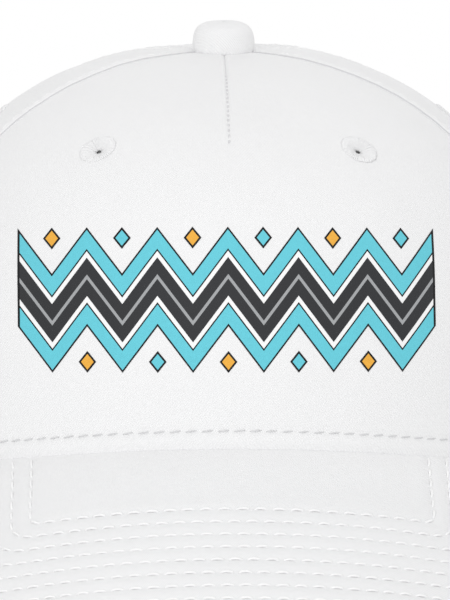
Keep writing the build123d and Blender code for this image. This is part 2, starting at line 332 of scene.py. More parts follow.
def share_at(azimuth, height):
    """Share of a meridian's length at a height."""
    azimuth, height = np.broadcast_arrays(azimuth, height)
    rows, beyond = table_place(azimuth)
    shares = []
    for row, part, level in zip(rows.ravel(), beyond.ravel(), height.ravel()):
        heights = table_heights[row] + (table_heights[row + 1] - table_heights[row]) * part
        shares.append(np.interp(level, heights, table_shares))
    return np.array(shares).reshape(azimuth.shape)


# Rim, visor and arch

visor_origin = np.array([0, -crown_front_reach, visor_joint_height])
visor_up = np.array([0, -math.sin(visor_slope), math.cos(visor_slope)])
visor_forwards = np.array([0, -math.cos(visor_slope), -math.sin(visor_slope)])


def visor_end():
    """Where the visor's side edge meets the rim: y, z, and how far back along the visor."""
    y = -crown_front_reach * math.sqrt(1 - (visor_half_width / crown_half_width) ** 2)
    drop = visor_bend_radius - math.sqrt(visor_bend_radius**2 - visor_half_width**2)
    back = (crown_front_reach + y - drop * math.sin(visor_slope)) / math.cos(visor_slope)
    return y, visor_joint_height + back * math.sin(visor_slope) - drop * math.cos(visor_slope), back


visor_end_y, visor_end_z, visor_back = visor_end()
rim_rise = (visor_end_z - rear_rim_height) / (crown_back_reach - visor_end_y)


def below_rim(points, depth):
    """Which points lie under the crown's edge, for a depth under the visor's upper face."""
    under_plane = points[..., 2] < rear_rim_height + (crown_back_reach - points[..., 1]) * rim_rise
    offset = points - visor_origin
    rise = offset @ visor_up + visor_bend_radius
    in_drum = np.hypot(points[..., 0], rise) < visor_bend_radius - depth
    return under_plane | (in_drum & (offset @ visor_forwards > -visor_back))


def rim_height(azimuth, depth=-layer_gap, inset=0.0):
    """Height of the crown's lower edge, found by halving."""
    low = np.zeros_like(azimuth)
    high = np.full_like(azimuth, 60.0)
    for _ in range(30):
        middle = (low + high) / 2
        inside = below_rim(wall(azimuth, middle, inset), depth)
        low = np.where(inside, middle, low)
        high = np.where(inside, high, middle)
    return (low + high) / 2


def azimuth_at(across, height):
    """Azimuth behind the axis at which the wall passes a distance aside."""
    azimuth = np.full_like(across, math.pi)
    for _ in range(20):
        azimuth = math.pi - np.arcsin(np.clip(across / wall_reach(azimuth, height), -1, 1))
    return azimuth


def arch_edge(grow=0.0, steps=60):
    """Azimuths and heights along half of the rear opening's edge, from the rim to the middle."""
    half = arch_half_width + grow
    foot = float(rim_height(azimuth_at(np.array(half), rear_rim_height)))
    upright = straight(half, foot, arch_spring, steps // 4)
    across, height = np.concatenate([upright, arc((0, arch_spring), half, 0, math.pi / 2, steps)]).T
    return azimuth_at(across, height), height


# Relief of the cloth, outwards in millimetres


def ripples(points, lengths, seed):
    """Soft waves of about unit height with wavelengths of some millimetres."""
    draw = np.random.default_rng(seed)
    total = np.zeros(points.shape[:-1])
    for length in lengths:
        direction = unit(draw.normal(size=3))
        phase = draw.uniform(0, 2 * math.pi)
        total += np.sin(points @ direction * (2 * math.pi / length) + phase)
    return total / math.sqrt(len(lengths))


def seam_distance(azimuth, height, seam):
    """Signed distance round the crown from a seam given in degrees."""
    return (np.abs(azimuth) - math.radians(seam)) * wall_reach(azimuth, height)


def crown_relief(azimuth, height):
    """Seams, puckers and soft waves of the crown, without the hem along its edge."""
    points = wall(azimuth, height)
    along = share_at(azimuth, height) * meridian_length(azimuth)
    off_button = smooth(9, 24, np.hypot(points[..., 0], points[..., 1]))
    relief = 0.16 * ripples(points, (34, 47, 61, 75), 5) + 0.05 * ripples(points, (14, 19, 23), 8)

    # The front seam is sunk near the button, with a slight swell on both sides
    centre = seam_distance(azimuth, height, 0)
    shown = smooth(98, 106, height)
    relief += shown * (0.08 * dip(np.abs(centre) - 1.5, 0.9) - 0.34 * dip(centre, 0.45))

    # The front and side panels' seam is folded over to the side and topstitched
    side = seam_distance(azimuth, height, front_side_seam)
    fold = smooth(0.0, 0.9, side) * (1 - smooth(4.8, 6.6, side))
    stitch_line = dip(side - front_side_stitch_offset, 0.42)
    relief += (0.34 * fold + 0.3 * dip(side - 1.35, 0.75) - 0.26 * stitch_line) * off_button
    relief -= 0.62 * dip(side + 0.15, 0.42)

    # The other seams are folded and topstitched to both sides
    for seam in (side_rear_seam, rear_seam):
        away = np.abs(seam_distance(azimuth, height, seam))
        fold = 1 - smooth(4.4, 5.8, away)
        relief += (0.28 * fold - 0.18 * dip(away - seam_stitch_offset, 0.5)) * off_button
        relief -= 0.36 * dip(away, 0.5)

    # Puckers beside each seam, with their offset and pitch, and the pull round each eyelet
    puckers = ((front_side_seam, 2.4, 6.3), (side_rear_seam, 4.6, 5.1), (rear_seam, 4.6, 4.7))
    for seam, offset, pitch in puckers:
        away = np.abs(seam_distance(azimuth, height, seam))
        pucker = np.sin(along * (2 * math.pi / pitch) + 1.3 * np.sin(along / 9))
        relief += 0.07 * pucker * dip(away - offset, 2.0) * off_button
    left_side = np.stack([np.abs(points[..., 0]), points[..., 1], points[..., 2]], -1)
    for place, level in eyelets.values():
        away = np.linalg.norm(left_side - wall(math.radians(place), level), axis=-1)
        relief -= 0.05 * dip(away - 4.7, 0.8)
    return relief


def hem_relief(distance):
    """Padded hem along the crown's edge and the sunk stitch line above it."""
    hem = 0.34 * (1 - smooth(3.0, 4.0, distance)) - 0.4 * (1 - smooth(0.0, 1.3, distance))
    return hem - 0.3 * dip(distance - hem_stitch_above_edge, 0.5)


# Meshes


def make_mesh(name, points, faces, *materials, weave=None, merge=False, crease=False):
    """Smooth mesh object from points of the upright cap, with coordinates that the weave follows."""
    mesh = bpy.data.meshes.new(name)
    points = to_row(np.reshape(points, (-1, 3)))
    mesh.from_pydata(points.tolist(), [], [tuple(map(int, face)) for face in faces])
    if weave is not None:
        values = np.zeros((len(points), 3), np.float32)
        values[:, :2] = np.reshape(weave, (-1, 2))
        mesh.attributes.new("cloth", "FLOAT_VECTOR", "POINT").data.foreach_set("vector", values.ravel())
    for material in materials:
        mesh.materials.append(material)
    mesh.polygons.foreach_set("use_smooth", [True] * len(mesh.polygons))
    if merge:
        work = bmesh.new()
        work.from_mesh(mesh)
        bmesh.ops.remove_doubles(work, verts=work.verts, dist=1e-6)
        bmesh.ops.dissolve_degenerate(work, edges=work.edges, dist=1e-7)
        work.to_mesh(mesh)
        work.free()
    mesh.validate()
    mesh.update()
    if crease:
        mesh.set_sharp_from_angle(angle=math.radians(50))
    piece = bpy.data.objects.new(name, mesh)
    bpy.context.scene.collection.objects.link(piece)
    return piece


def settle(piece, slot, *nodes):
    """Lets a piece ride on the cap and stand for nodes; the slot is not used."""
    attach(piece, "cap")
    if nodes:
        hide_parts(*nodes)


def make_cloth(name, slot, points, faces, material, **choices):
    """Cloth piece that takes the place of the node of that name."""
    settle(make_mesh(f"{name}_cloth", points, faces, material, **choices), slot, name)


def strip(one, other, flip=False):
    """Quads between two equally long lists of point numbers."""
    faces = np.stack([one[:-1], one[1:], other[1:], other[:-1]], -1)
    return faces[:, ::-1] if flip else faces


def grid_faces(rows, columns, start=0, flip=False, closed=False):
    """Quads of a grid of points stored row by row, with closed rows or open ones."""
    line = np.append(np.arange(columns), 0) if closed else np.arange(columns)
    starts = start + np.arange(rows) * columns
    return np.concatenate([strip(this + line, after + line, flip) for this, after in zip(starts, starts[1:])])


def loft_rows(rows, **choices):
    """Points and faces of a surface through rows of equally many points."""
    return np.concatenate(rows), grid_faces(len(rows), len(rows[0]), **choices)


def closed_section(rows):
    """Points and faces of a band whose cross-section is closed, with both ends closed."""
    columns = len(rows[0])
    line = np.arange(columns)
    starts = np.arange(len(rows)) * columns
    faces = [starts, starts[::-1] + columns - 1]
    for this, after in zip(starts, np.roll(starts, -1)):
        faces += list(strip(this + line, after + line, flip=True))
    return np.concatenate(rows), faces


def panel_faces(rows, columns, flip):
    """Quads of a sheet folded at its lower edge: both skins, its two ends and its top."""
    starts = np.arange(rows) * columns
    inner, outer = starts[: rows // 2], starts[::-1][: rows // 2]
    line = np.arange(columns)
    return np.concatenate([
        grid_faces(rows, columns, flip=flip),
        strip(outer, inner, flip),
        strip(inner + columns - 1, outer + columns - 1, flip),
        strip(line, starts[-1] + line, not flip),
    ])


def crown_panel(name, side, edge_azimuth, edge_height, top_azimuth):
    """Panel as a closed sheet: inner skin, folded edge and outer skin with its relief."""
    edge_share = share_at(edge_azimuth, edge_height)
    step = np.linspace(0, 1, panel_rows)[:, None]
    azimuth = edge_azimuth + (top_azimuth - edge_azimuth) * step
    share = edge_share + (1 - edge_share) * step
    height = height_at(azimuth, share)
    base = wall(azimuth, height)
    normal = wall_normal(azimuth, height)

    distance = np.full(height.shape, far_off)
    distance[:hem_rows] = nearest(base[:hem_rows], wall(edge_azimuth, edge_height))
    relief = crown_relief(azimuth * side, height) * smooth(0.0, 5.0, distance) + hem_relief(distance)
    outer = base + normal * relief[..., None]
    inner = base + normal * (0.25 * np.minimum(relief, 0) - cloth)[..., None]

    # The edge is folded under: a half round between the two skins
    down = unit(base[0] - base[1])
    turns = np.linspace(math.pi, 0, 7)[1:-1, None, None]
    half = (outer[0] - inner[0]) / 2
    fold = (outer[0] + inner[0]) / 2 + half * np.cos(turns) + down * (0.45 * np.sin(turns))
    skin = np.concatenate([inner[::-1], fold, outer]) * [side, 1, 1]
    round_crown = (azimuth - azimuth.mean()) * np.maximum(wall_reach(azimuth, height), 1)
    weave = np.stack([round_crown, share * meridian_length(azimuth)], -1)
    weave = np.concatenate([weave[::-1], np.repeat(weave[:1], len(fold), axis=0), weave])

    faces = panel_faces(*skin.shape[:2], flip=side < 0)
    place, level = eyelets[name.split("_")[0]]
    hole = wall(math.radians(place), level) * [side, 1, 1]
    middles = skin.reshape(-1, 3)[faces].mean(axis=1)
    faces = faces[np.linalg.norm(middles - hole, axis=-1) > eyelet_hole_radius]
    make_cloth(name, "crown_twill", skin, faces, crown_twill, weave=weave, crease=True)


def seam_spread(start, end, count):
    """Azimuths from seam to seam, closer together near the seams."""
    even = np.linspace(0, 1, count)
    eased = 0.5 - 0.5 * np.cos(math.pi * even)
    return np.radians(start) + np.radians(end - start) * (0.45 * even + 0.55 * eased)


def rear_edge():
    """Lower edge of a rear panel, along the rim and round half of the opening, and its azimuths on top."""
    arch_azimuth, arch_heights = arch_edge()
    start = math.radians(side_rear_seam)
    rim_azimuth = np.linspace(start, arch_azimuth[0], 50)
    azimuth = np.concatenate([rim_azimuth, arch_azimuth[1:]])
    height = np.concatenate([rim_height(rim_azimuth), arch_heights[1:]])
    run = distances_along(wall(azimuth, height))
    return azimuth, height, start + (math.pi - start) * run / run[-1]


def make_crown():
    """The six panels."""
    spans = (("front", 0, front_side_seam, 120), ("side", front_side_seam, side_rear_seam, 104))
    for side, word in sides:
        for name, start, end, count in spans:
            azimuth = seam_spread(start, end, count)
            crown_panel(f"{name}_panel_{word}", side, azimuth, rim_height(azimuth), azimuth)
        crown_panel(f"rear_panel_{word}", side, *rear_edge())


# Thread


def sweep(path, normals, radii, sides_round=6):
    """Closed tube of points and faces along a path."""
    tangent = unit(np.gradient(path, axis=0))
    aside = unit(np.cross(tangent, normals))
    up = np.cross(aside, tangent)
    turns = np.arange(sides_round) * 2 * math.pi / sides_round
    ring = up[:, None] * np.cos(turns)[None, :, None] + aside[:, None] * np.sin(turns)[None, :, None]
    body = path[:, None] + ring * np.broadcast_to(radii, len(path))[:, None, None]
    points = np.concatenate([body.reshape(-1, 3), path[:1], path[-1:]])
    faces = grid_faces(len(path), sides_round, closed=True).tolist()
    last_ring = (len(path) - 1) * sides_round
    for k in range(sides_round):
        after = (k + 1) % sides_round
        faces.append((len(points) - 2, after, k))
        faces.append((len(points) - 1, last_ring + k, last_ring + after))
    return points, faces


def join(parts):
    """Many sets of points and faces as one."""
    points, faces, offset = [], [], 0
    for some, its_faces in parts:
        points.append(some)
        faces += [[number + offset for number in face] for face in its_faces]
        offset += len(some)
    return np.concatenate(points), faces


# A stitch rises out of the cloth and dives back: places along it, lift and girth
stitch_steps = np.array([0.0, 0.08, 0.25, 0.5, 0.75, 0.92, 1.0])
stitch_lift = np.array([-1.0, -0.1, 0.75, 1.0, 0.75, -0.1, -1.0])
stitch_girth = np.array([0.55, 0.85, 1.0, 1.0, 1.0, 0.85, 0.55])


def stitch_row(points, normals, kind, slant=0.0):
    """Stitches laid along a path, each turned a little by the slant."""
    pitch, length, radius = stitches[kind]
    run = distances_along(points)
    free = run[-1] - length
    turned = (slant * (2 * stitch_steps - 1))[:, None]
    parts = []
    for start in np.linspace(0, free, round(free / pitch) + 1):
        at = start + stitch_steps * length
        path = on_path(points, run, at)
        up = unit(on_path(normals, run, at))
        aside = unit(np.cross(up, path[-1] - path[0]))
        path = path + up * (stitch_lift * radius * 0.9)[:, None] + aside * turned
        parts.append(sweep(path, up, radius * stitch_girth))
    return parts


def sew(name, parts, thread, *nodes):
    """Threads as one piece, which may stand for nodes."""
    settle(make_mesh(name, *join(parts), thread), "eyelet_thread", *nodes)


def crown_line(azimuth, height, side, lift):
    """Points on the crown's cloth with their directions, lifted off the plain form."""
    azimuth, height = np.broadcast_arrays(azimuth, height)
    normal = wall_normal(azimuth, height)
    points = wall(azimuth, height) + normal * np.asarray(lift)[..., None]
    return points * [side, 1, 1], normal * [side, 1, 1]


def make_hem_stitches():
    """Topstitching round the crown's edge and round the opening, and a second row there."""
    pitch, length, _ = stitches["hem"]
    first = 0.5 * (pitch - length) / crown_front_reach
    last = float(azimuth_at(np.array(arch_half_width + 4.0), 4.0))
    azimuth = np.linspace(first, last, 700)
    share = share_at(azimuth, rim_height(azimuth)) + hem_stitch_above_edge / meridian_length(azimuth)
    height = height_at(azimuth, share)
    front = azimuth < math.radians(front_side_seam)
    parts, over_visor = [], []
    for side, _ in sides:
        for chosen, bucket in ((front, over_visor), (~front, parts)):
            line = crown_line(azimuth[chosen], height[chosen], side, -0.12)
            bucket += stitch_row(*line, "hem", hem_stitch_slant)
        for grow in arch_stitch_offsets:
            arch_azimuth, arch_heights = arch_edge(grow, 90)
            parts += stitch_row(*crown_line(arch_azimuth[4:], arch_heights[4:], side, 0.1), "arch")
    sew("crown_edge_stitches", parts, white_thread)
    # The topstitch over the visor is grey: painted shade, as its white thread lies in shadow under the
    # crown's edge.
    sew("topstitch_over_visor", over_visor, topstitch_painted_shade)


def seam_line(seam, side, ends, lift, offset=0.0):
    """Points along a seam between two shares of its meridian, an offset round the crown from it."""
    share = np.linspace(*ends, seam_steps)
    azimuth = np.full(seam_steps, math.radians(seam))
    for _ in range(4):
        height = height_at(azimuth, share)
        azimuth = math.radians(seam) + offset / wall_reach(azimuth, height)
    return crown_line(azimuth, height, side, crown_relief(azimuth * side, height) + lift)


def seam_foot(seam):
    """Share of a seam's meridian at its lower end."""
    if seam == rear_seam:
        return float(share_at(math.pi, rear_rim_height + arch_height + 1.5))
    azimuth = np.array(math.radians(seam))
    return float(share_at(azimuth, rim_height(azimuth))) + 0.005


def make_seam_stitches():
    """Rows beside the seams, and grey cords of painted shadow: needle marks of the front seam and a cord sunk
    in each seam.
    """
    rows = (
        (front_side_seam, front_side_stitch_offset),
        (side_rear_seam, seam_stitch_offset),
        (side_rear_seam, -seam_stitch_offset),
        (rear_seam, -seam_stitch_offset),
    )
    parts, sunk = [], []
    for side, _ in sides:
        for seam, offset in rows:
            ends = (seam_foot(seam) + 0.03, seam_stitch_top_share)
            parts += stitch_row(*seam_line(seam, side, ends, -0.03, offset), "seam")
        # A grey cord in each seam's groove is painted shadow of the seam.
        for seam, offset in ((front_side_seam, 0.4), (side_rear_seam, 0.0), (rear_seam, 0.0)):
            line = seam_line(seam, side, (seam_foot(seam), button_share), 0.03, offset)
            sunk.append(sweep(*line, 0.17))
    ends = [float(share_at(0.0, level)) for level in mark_heights]
    # Dark needle marks on the front seam, and a cord in its sunk upper part up to the button, are painted
    # shade.
    sunk += stitch_row(*seam_line(0, 1, ends, 0.02), "needle_mark")
    sunk.append(sweep(*seam_line(0, 1, (ends[1], button_share), -0.04), 0.16))
    sew("seam_stitches", parts, white_thread)
    sew("sunk_seam_painted_shade", sunk, seam_shadow)


# Visor


def visor_point(across, forwards, depth):
    """Points of the visor: arc length across, distance forwards and depth under its upper face."""
    turn = across / visor_bend_radius
    radius = visor_bend_radius - depth
    rise = radius * np.cos(turn) - visor_bend_radius
    points = visor_origin + forwards[..., None] * visor_forwards + rise[..., None] * visor_up
    points[..., 0] += radius * np.sin(turn)
    normal = np.sin(turn)[..., None] * np.array([1.0, 0, 0]) + np.cos(turn)[..., None] * visor_up
    return points, normal


def visor_throat(across, inset):
    """How far forwards the crown's throat lies, at an arc length across."""
    x = visor_bend_radius * np.sin(across / visor_bend_radius)
    y = -(crown_front_reach - inset) * np.sqrt(np.maximum(1 - (x / (crown_half_width - inset)) ** 2, 0))
    rise = np.sqrt(visor_bend_radius**2 - x**2) - visor_bend_radius
    return -(y + crown_front_reach + rise * math.sin(visor_slope)) / math.cos(visor_slope)


def visor_outline(count):
    """Even points round the visor's free edge, as arc length across and distance forwards."""
    front_centre = visor_reach - visor_front_radius
    corner_x = visor_half_width - visor_corner_radius
    corner_y = front_centre + math.sqrt((visor_front_radius - visor_corner_radius) ** 2 - corner_x**2)
    meet = math.atan2(corner_y - front_centre, corner_x)
    start = visor_throat(visor_bend_radius * math.asin(visor_half_width / visor_bend_radius), cloth)
    whole = mirrored(np.concatenate([
        straight(visor_half_width, start, corner_y, 60),
        arc((corner_x, corner_y), visor_corner_radius, 0, meet, 80),
        arc((0, front_centre), visor_front_radius, meet, math.pi / 2, 80),
    ]))
    whole[:, 0] = visor_bend_radius * np.arcsin(np.clip(whole[:, 0] / visor_bend_radius, -1, 1))
    return even_path(whole, count)


def visor_rows():
    """Paths of the stitched rows: a leg on each side, a round corner and a bowed front."""
    paths = []
    for shift in np.arange(row_count) * row_spacing:
        leg, corner = first_row_leg + shift, first_row_corner + shift
        centre = leg - corner
        turn = 0.2
        for _ in range(8):
            turn = math.atan((centre + corner * math.sin(turn)) / row_bow_radius)
        meet = centre + corner * math.sin(turn)
        level = first_row_reach + shift - meet**2 / (2 * row_bow_radius) - corner * math.cos(turn)
        across = np.linspace(meet, 0, 100)[1:]
        paths.append(mirrored(np.concatenate([
            straight(leg, visor_throat(leg, 0.0) + 0.5, level, 80),
            arc((centre, level), corner, 0, math.pi / 2 - turn, 40),
            np.stack([across, first_row_reach + shift - across**2 / (2 * row_bow_radius)], -1),
        ])))
    return paths


def visor_face_depth(flat):
    """Depth of the upper face's cloth: waves, sunk stitch rows and the rolled edge."""
    plain, _ = visor_point(flat[..., 0], flat[..., 1], 0.0)
    row_distance = np.full(flat.shape[:-1], far_off)
    for path in visor_rows():
        dense = even_path(path, int(distances_along(path)[-1] / 0.5))
        row_distance = np.minimum(row_distance, nearest(flat, dense))
    padded = smooth(0.8, 2.3, row_distance) * (1 - smooth(3.0, 6.0, row_distance))
    sunk = 0.3 * dip(row_distance, 0.75) - 0.1 * padded + 0.05 * ripples(plain, (21, 33, 46), 12)
    near_edge = np.clip(1 - nearest(flat, visor_outline(700)) / visor_edge_round, 0, 1)
    roll = visor_cover * (1 - np.sqrt(np.maximum(1 - near_edge**2, 0)))
    return np.minimum(sunk * (1 - near_edge) + roll, visor_depth / 2)


def make_visor():
    """Upper and lower cover, each a closed sheet with its rolled edge and sunk stitch rows."""
    outer = visor_outline(visor_columns)
    inner_across = np.linspace(outer[0, 0], -outer[0, 0], visor_columns)
    inner = np.stack([inner_across, visor_throat(inner_across, cloth)], -1)
    step = np.linspace(0, 1, visor_rows_across)[:, None, None]
    step = 0.75 * step + 0.25 * (1 - (1 - step) ** 2)
    flat = inner * (1 - step) + outer * step
    face_depth = visor_face_depth(flat)

    line = np.arange(visor_columns)
    count = visor_rows_across * visor_columns
    far = count - visor_columns
    faces = np.concatenate([
        grid_faces(visor_rows_across, visor_columns),
        grid_faces(visor_rows_across, visor_columns, count, flip=True),
        strip(count + line, line),
        strip(far + line, count + far + line),
    ])
    for name, top, bottom in (
        ("visor_top_cover", face_depth, visor_depth / 2),
        ("visor_under_cover", visor_depth / 2, visor_depth - face_depth),
    ):
        skins = [visor_point(flat[..., 0], flat[..., 1], depth)[0] for depth in (top, bottom)]
        choices = {"weave": [flat, flat], "merge": True, "crease": True}
        make_cloth(name, "visor_twill", skins, faces, visor_twill, **choices)
    for name, depth, way in (
        ("visor_row_stitches", row_stitch_depth, 1),
        ("visor_under_row_stitches", visor_depth - row_stitch_depth, -1),
    ):
        parts = []
        for path in visor_rows():
            points, normals = visor_point(path[:, 0], path[:, 1], depth)
            parts += stitch_row(points, normals * way, "visor")
        sew(name, parts, row_thread)


# Button and eyelets


def make_button():
    """Cloth-covered button with its gathered lower edge."""
    shares = [(0.0, 0.0), (0.9, 0.0), (0.97, 0.03), (0.985, 0.12), (0.98, 0.3), (0.97, 0.47), (0.94, 0.62),
              (0.87, 0.78), (0.75, 0.885), (0.57, 0.95), (0.32, 0.985), (0.0, 1.0)]
    profile = np.array(shares) * [button_radius, button_height + button_tuck] - [0, button_tuck]
    profile = even_path(profile, 40)
    for _ in range(3):
        profile[1:-1] = (profile[:-2] + 2 * profile[1:-1] + profile[2:]) / 4
    reach, rise = profile.T[..., None]
    turn = np.linspace(0, 2 * math.pi, 96, endpoint=False)
    low = 1 - smooth(0.2, 2.6, rise)
    folds = 0.1 * np.cos(turn * 17 + 0.8 * np.sin(3 * turn)) * low * (reach > 3)
    soft = 0.05 * np.sin(turn * 3 + 1) * (1 - low)
    points = around(turn, np.maximum(reach + folds, 0), button_base + rise + soft)
    weave = np.stack([points[..., 0], points[..., 1] + points[..., 2]], -1)
    points, faces = loft_rows(list(points), closed=True)
    make_cloth("crown_button", "crown_twill", points, faces, crown_twill, weave=weave, merge=True)


def eyelet_seat(azimuth, height, side):
    """Mean lift of the cloth round an eyelet, so that its edge lies in the cloth."""
    turns = np.linspace(0, 2 * math.pi, 12, endpoint=False)
    ring_azimuth = azimuth + 5.5 * np.cos(turns) / wall_reach(azimuth, height)
    return crown_relief(ring_azimuth * side, height + 4.0 * np.sin(turns)).mean()


# Reaches from the eyelet's axis and rises off the cloth, of the dished ring and of the thread over it
ring_section = [(4.6, -0.7), (4.45, -0.16), (4.1, 0.06), (3.7, 0.16), (3.0, 0.04), (2.2, -0.3), (1.4, -0.7),
                (0.85, -1.0), (1.1, -1.1), (2.2, -0.9), (4.1, -0.9), (4.6, -0.7)]
satin_path = [(4.5, -0.3), (4.25, -0.02), (3.75, 0.18), (3.0, 0.08), (2.2, -0.25), (1.4, -0.65), (0.6, -1.05)]


def eyelet(place, along, up, out):
    """Dished ring with satin stitches that radiate over it and dive into the hole."""
    turn = np.linspace(0, 2 * math.pi, 64, endpoint=False)
    spoke = along * np.cos(turn)[:, None] + up * np.sin(turn)[:, None]
    rows = [place + spoke * reach + out * rise for reach, rise in ring_section]
    parts = [loft_rows(rows, closed=True, flip=np.dot(np.cross(along, up), out) < 0)]
    draw = np.random.default_rng(40)
    thread_reach, thread_rise = np.array(satin_path).T
    radii = 0.54 * 2 * math.pi * thread_reach / satin_stitch_count
    for k in range(satin_stitch_count):
        angle = 2 * math.pi * k / satin_stitch_count + draw.uniform(-0.02, 0.02)
        way = along * math.cos(angle) + up * math.sin(angle)
        reach = thread_reach * (1 + draw.uniform(-0.012, 0.025) * (thread_reach > 3))
        rise = thread_rise + draw.uniform(0, 0.05)
        path = place + way * reach[:, None] + out * rise[:, None]
        parts.append(sweep(path, np.broadcast_to(out, path.shape), radii))
    return parts


def make_eyelets():
    """Sewn eyelets, one in each panel."""
    for side, word in sides:
        for name, (degrees, height) in eyelets.items():
            azimuth = math.radians(degrees)
            out = wall_normal(azimuth, height)
            along = unit(wall(azimuth + 1e-3, height) - wall(azimuth - 1e-3, height))
            place = wall(azimuth, height) + out * eyelet_seat(azimuth, height, side)
            axes = [vector * [side, 1, 1] for vector in (place, along, np.cross(out, along), out)]
            node_name = f"{name}_eyelet_{word}"
            sew(f"{node_name}_embroidery", eyelet(*axes), satin_thread, node_name)


# Print on the front


def print_point(across, up, lift):
    """Points on the front's cloth under a flat sheet that is held up before the cap and tilted back."""
    rise, run = math.cos(print_tilt), math.sin(print_tilt)
    level = print_height * rise - wall_reach(0.0, print_height) * run + up
    azimuth, height = np.zeros_like(across), np.full_like(across, print_height)
    for _ in range(30):
        reach = wall_reach(azimuth, height)
        azimuth = np.arcsin((print_shift + across) / reach)
        height = (level + reach * np.cos(azimuth) * run) / rise
    return crown_line(azimuth, height, 1, crown_relief(azimuth, height) + lift)[0]


def zigzag(across):
    """Height of the zigzag line, with a peak in the middle."""
    return zigzag_rise * (0.5 - np.abs(2 * ((across / zigzag_length + 0.5) % 1) - 1))


def zigzag_stripes(stripes):
    """Flat points, faces and inks of stripes that lie one over the other, closed by a border at each end."""
    half = print_length / 2
    steps = np.linspace(-half, half, 16 * zigzag_count + 1)
    across = np.sort(np.concatenate([steps, [print_border - half, half - print_border]]))
    level = sum(width for width, _ in stripes) / 2
    levels, inks_of_rows = [level], []
    for width, ink in stripes:
        count = math.ceil(width / 1.1)
        levels += [level - width * (k + 1) / count for k in range(count)]
        inks_of_rows += [ink] * count
        level -= width
    rows = [np.stack([across, zigzag(across) + level], -1) for level in levels]
    inks_of_faces = []
    for ink in inks_of_rows:
        inks_of_faces += ["black"] + [ink] * (len(across) - 3) + ["black"]
    return *loft_rows(rows, flip=True), inks_of_faces


def diamond(middle, scheme):
    """Flat points, faces and inks of a diamond of nested bands."""
    corners = np.array([(1, 0), (0, 1), (-1, 0), (0, -1), (1, 0)])
    outline = on_path(corners, np.arange(5), np.arange(20) / 5) * diamond_half_size
    shares = [share for share, _ in scheme] + [0.01]
    rows, inks_of_faces = [middle + outline * shares[0]], []
    for (share, ink), end in zip(scheme, shares[1:]):
        rows += [middle + outline * part for part in np.linspace(share, end, 3)[1:]]
        inks_of_faces += [ink] * (2 * len(outline))
    return *loft_rows(rows, closed=True), inks_of_faces


def make_print():
    """Zigzag band in the print's colours, with small diamonds in the notches of both edges."""
    upper = [(0.65, "black"), (4.5, "turquoise"), (0.55, "black"), (1.5, "white"), (4.0, "charcoal")]
    stripes = upper + [(1.1, "grey")] + upper[::-1]
    schemes = (((1.0, "black"), (0.72, "amber")), ((1.0, "black"), (0.72, "turquoise")))
    rise = sum(width for width, _ in stripes) / 2 + zigzag_rise / 2 - diamond_half_size[1]
    layers = [zigzag_stripes(stripes)]
    for k in range(1, 2 * zigzag_count):
        place = (k - zigzag_count) * zigzag_length / 2
        layers.append(diamond([place, rise if k % 2 else -rise], schemes[(k - 1) // 2 % 2]))
    flat, faces = join([layer[:2] for layer in layers])
    points = print_point(flat[:, 0], flat[:, 1], print_lift)
    piece = make_mesh("front_print", points, faces, *inks.values())
    names = list(inks)
    ink_of_face = [names.index(ink) for layer in layers for ink in layer[2]]
    piece.data.polygons.foreach_set("material_index", ink_of_face)
    settle(piece, "crown_twill")


# Inside and closure


def band_line(azimuth, rise, inset):
    """Points of the sweatband's run at a height above its lower edge."""
    return wall(azimuth, rim_height(np.abs(azimuth), visor_depth, inset) + rise, inset)


def make_band(name, slot, material, line, azimuth, profile, mean_reach):
    """Cloth band: a cross-section of insets and rises that follows a line round the crown."""
    points, faces = closed_section([line(azimuth, rise, inset) for inset, rise in profile])
    weave = [np.stack([azimuth * mean_reach, np.full(len(azimuth), rise)], -1) for _, rise in profile]
    make_cloth(name, slot, points, faces, material, weave=weave)


def make_sweatband():
    """Folded band inside the rim, with its stitched lip."""
    half = math.pi - math.asin((arch_half_width + layer_gap) / crown_back_reach) - math.radians(1)
    azimuth = np.linspace(-half, half, 420)
    out, back, top = band_inset, band_inset + band_thickness, band_height
    lip = [(lining_inset, 0.1), (lining_inset, 1.1), (out - 0.3, 1.2), (out, 1.6)]
    outer = [(out, 12.0), (out, 24.0), (out, top - 0.8), (out + 0.2, top - 0.2), (out + 0.5, top)]
    inner = [(back - 0.2, top - 0.2), (back, top - 0.8), (back - 0.1, 29.0), (back, 26.5), (back, 20.0),
             (back, 12.0), (back, 6.0), (back - 0.15, 4.4), (back, 3.0), (back, 1.2), (back - 0.3, 0.3),
             (back - 0.8, 0.1)]
    profile = lip + outer + inner
    make_band("sweatband", "sweatband", sweatband_cotton, band_line, azimuth, profile, band_mean_reach)
    parts = []
    for rise in (4.4, 29.0):
        parts += stitch_row(band_line(azimuth, rise, back + 0.02), -outwards(azimuth), "band")
    sew("sweatband_stitches", parts, white_thread)


def strap_line(azimuth, rise, inset):
    """Points of the strap's run at a height above the sloping rim."""
    height = np.full_like(azimuth, rear_rim_height + rise)
    for _ in range(12):
        reach = wall_reach(azimuth, height) - inset
        height = rear_rim_height + (crown_back_reach + reach * np.cos(azimuth)) * rim_rise
        height = height + rise * math.hypot(1, rim_rise)
    return wall(azimuth, height, inset)


def make_strap():
    """Strap with hemmed edges and a stitch row along each."""
    azimuth = np.radians(np.linspace(strap_start, strap_end, 220))
    out, back = strap_inset, strap_inset + strap_thickness
    low, high = strap_above_rim, strap_above_rim + strap_width
    stitch_line = 2.7
    hem = [(back, 0.5), (back - 0.3, 0.1), (out + 0.3, 0.05), (out, 0.5), (out, 2.2),
           (out + 0.18, stitch_line), (out + 0.05, 3.3)]
    profile = [(inset, low + rise) for inset, rise in hem]
    profile.append((out + 0.05, (low + high) / 2))
    profile += [(inset, high - rise) for inset, rise in hem[::-1]]
    profile += [(back, high - 6), (back, low + 6)]
    make_band("closure_strap", "crown_twill", crown_twill, strap_line, azimuth, profile, strap_mean_reach)
    parts = []
    for rise in (low + stitch_line, high - stitch_line):
        for inset, way in ((out + 0.1, 1), (back, -1)):
            parts += stitch_row(strap_line(azimuth, rise, inset), outwards(azimuth) * way, "strap")
    sew("strap_stitches", parts, white_thread)


# Materials


